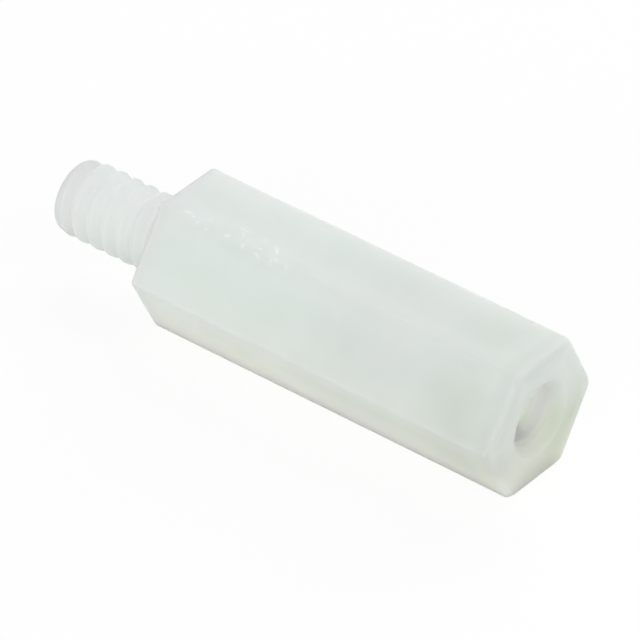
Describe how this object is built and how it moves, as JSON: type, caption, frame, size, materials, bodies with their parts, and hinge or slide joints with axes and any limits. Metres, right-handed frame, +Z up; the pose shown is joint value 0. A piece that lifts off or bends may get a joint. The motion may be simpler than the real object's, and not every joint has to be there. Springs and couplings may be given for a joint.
{
  "type": "hex standoff",
  "caption": "Hexagonal spacer lying on one flat, with a threaded stud at one end and a blind threaded hole with a countersunk mouth at the other.",
  "frame": {"origin": "on the axis, in the plane of the shoulder round the foot of the stud", "axes": "+X along the axis, out of the mouth of the threaded hole, with the stud pointing to -X; +Z up, square to the flat that the part lies on"},
  "size_m": [0.0248, 0.0072, 0.0064],
  "materials": {
    "nylon": "satin"
  },
  "bodies": {
    "root": {"standoff": "nylon"}
  },
  "joints": []
}
